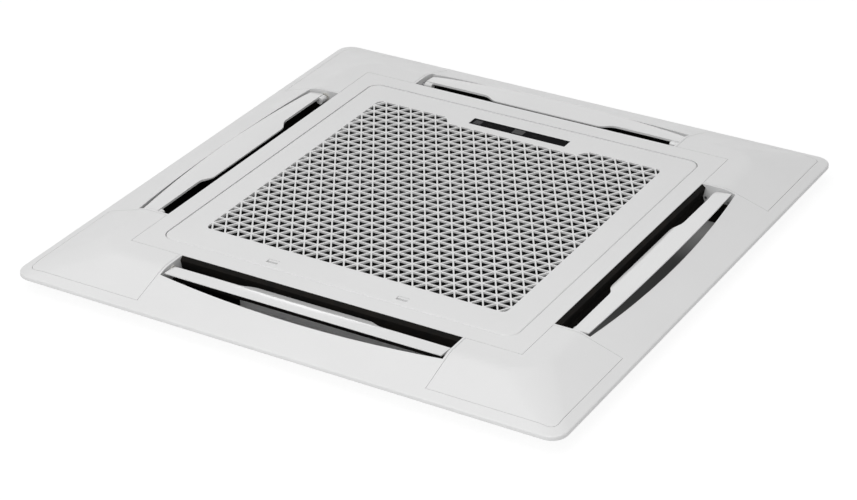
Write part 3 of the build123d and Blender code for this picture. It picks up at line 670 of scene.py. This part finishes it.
# ---------------------------------------------------------------- stage
def path_switch(tree, plain, seen):
    """Shader that camera, glossy and transmission rays see as the second one."""
    path = tree.nodes.new("ShaderNodeLightPath")
    total = path.outputs["Is Camera Ray"]
    for name in ("Is Glossy Ray", "Is Transmission Ray"):
        node = tree.nodes.new("ShaderNodeMath")
        node.operation = "MAXIMUM"
        tree.links.new(total, node.inputs[0])
        tree.links.new(path.outputs[name], node.inputs[1])
        total = node.outputs[0]
    mix = tree.nodes.new("ShaderNodeMixShader")
    for start, end in zip((total, plain, seen), mix.inputs):
        tree.links.new(start, end)
    return mix.outputs[0]


def painted_covered_light(nodes):
    """Colour of the floor that shows through the outlets, and through the intake once it opens:
    under the front outlet a painted shadow and then a painted pool of light that fades, under the
    other outlets painted shade that turns to painted light, and the floor's plain tone under the
    intake.
    """
    x, y = nodes.plan()
    # Painted light under the front outlet, fading from the stop; painted shadow before the stop.
    pale = nodes.between(x, FRONT_STOP, FRONT_FADE)
    front = nodes.mix(pale, grey(FRONT_PAINTED_LIGHT), grey(SOFT_FLOOR_AND_FADED_LIGHT))
    front = nodes.mix(nodes.math("LESS_THAN", x, FRONT_STOP), front, grey(FRONT_PAINTED_SHADOW))
    # Painted shade under the other outlets, paler towards the back.
    side = nodes.mix(nodes.between(y, *SIDE_FADE), grey(SIDE_PAINTED_SHADE), grey(SIDE_PAINTED_LIGHT))
    ducts = nodes.mix(nodes.math("LESS_THAN", y, -FRONT_FLOOR), side, front)
    return nodes.mix(nodes.within(INTAKE_FLOOR), ducts, grey(SOFT_FLOOR_AND_FADED_LIGHT))


def make_floor(low):
    """Pale floor at the panel's rear plane: white to the camera, but it keeps the shadow; under
    the panel its colour holds painted light and shade.
    """
    mesh = bmesh.new()
    bmesh.ops.create_grid(mesh, x_segments=1, y_segments=1, size=FLOOR_HALF)
    floor = new_object(mesh, "floor")
    floor.location.z = low
    nodes = Nodes("floor_pale")
    covered = nodes.within(FOOTPRINT)
    open_tone = nodes.mix(nodes.noise(FLOOR_BLOB), *(grey(level) for level in FLOOR_LEVELS))
    nodes.colour(nodes.mix(covered, open_tone, painted_covered_light(nodes)))
    nodes.set("Roughness", 0.9)
    nodes.set("Specular IOR Level", 0.0)
    lit = nodes.shader.outputs[0]
    bright = nodes.add("BsdfDiffuse")
    nodes.feed(grey(FLOOR_GAIN), bright.inputs["Color"])
    seen = nodes.blend(FLOOR_GLOW, bright.outputs[0], nodes.add("Emission").outputs[0])
    shown = path_switch(nodes.tree, lit, nodes.blend(covered, seen, lit))
    nodes.link(shown, nodes.tree.nodes["Material Output"].inputs["Surface"])
    floor.data.materials.append(nodes.material)


def make_world():
    """Even soft light, with plain white behind the scene."""
    world = bpy.data.worlds.new("studio")
    world.use_nodes = True
    tree = world.node_tree
    soft = tree.nodes["Background"]
    soft.inputs["Color"].default_value = WHITE
    soft.inputs["Strength"].default_value = WORLD_LIGHT
    white = tree.nodes.new("ShaderNodeBackground")
    white.inputs["Color"].default_value = WHITE
    shown = path_switch(tree, soft.outputs[0], white.outputs[0])
    tree.links.new(shown, tree.nodes["World Output"].inputs["Surface"])
    bpy.context.scene.world = world


def make_lamp(name, place, size, power):
    """Rectangular lamp that points at the panel."""
    data = bpy.data.lights.new(name, "AREA")
    data.shape = "RECTANGLE"
    data.size, data.size_y = size
    data.energy = power
    piece = bpy.data.objects.new(name, data)
    piece.location = place
    piece.rotation_mode = "QUATERNION"
    piece.rotation_quaternion = (Vector(LAMP_AIM) - Vector(place)).to_track_quat("-Z", "Y")
    bpy.context.scene.collection.objects.link(piece)


def make_camera():
    """Camera at the photo's viewing angle."""
    data = bpy.data.cameras.new("camera")
    data.lens = CAMERA_LENS
    data.sensor_width = CAMERA_SENSOR
    data.clip_end = CAMERA_REACH
    camera = bpy.data.objects.new("camera", data)
    axes = (CAMERA_RIGHT, [-v for v in CAMERA_DOWN], [-v for v in CAMERA_AHEAD])
    turn = Matrix(axes).transposed()
    camera.matrix_world = Matrix.Translation(CAMERA_PLACE) @ turn.to_4x4()
    bpy.context.scene.collection.objects.link(camera)
    bpy.context.scene.camera = camera


# ---------------------------------------------------------------- scene
cad_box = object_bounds()
materials = make_materials()
dress(frame["nodes"], frame["record"], materials)
make_grille(frame["nodes"]["intake_grille"], materials["grille_white"])
make_strip(materials["foam_black"])
make_floor(cad_box[0].z)
make_world()
for name, (place, size, power) in LAMPS.items():
    make_lamp(name, place, size, power)
make_camera()
bpy.context.scene.view_settings.view_transform = "Standard"
